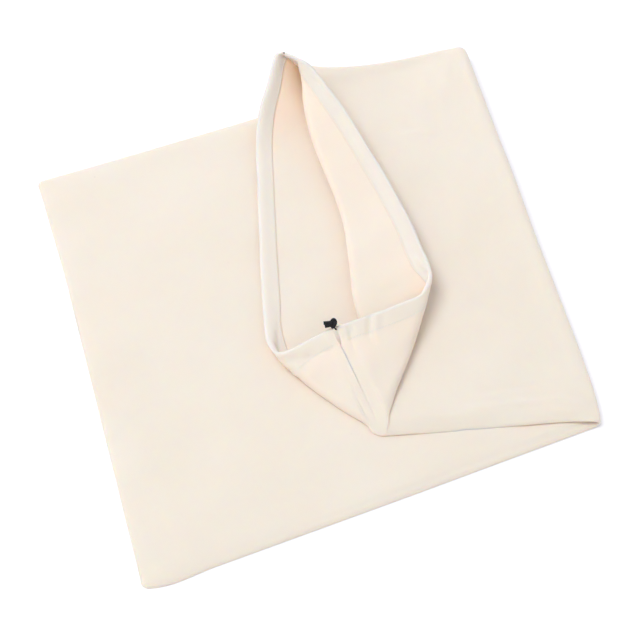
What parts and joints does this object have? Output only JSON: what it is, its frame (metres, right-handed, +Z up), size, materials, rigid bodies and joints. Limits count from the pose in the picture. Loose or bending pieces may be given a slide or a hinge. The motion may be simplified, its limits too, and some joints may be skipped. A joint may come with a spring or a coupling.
{
  "type": "drawstring storage bag",
  "caption": "Empty cotton drawstring bag lying flat, its mouth end folded back over the body and pulled open.",
  "frame": {"origin": "middle of the bounding box of the bag on the surface that it lies on", "axes": "+X runs along the bag from its bottom to the fold, +Y from the near side seam to the far one, +Z up"},
  "size_m": [0.5456, 0.5376, 0.0682],
  "materials": {
    "cotton": "matte, plain woven unbleached cotton with small dark seed specks",
    "cord": "matte, black braided cord"
  },
  "bodies": {
    "root": {"bag_cloth": "cotton", "drawstring": "cord"}
  },
  "joints": []
}
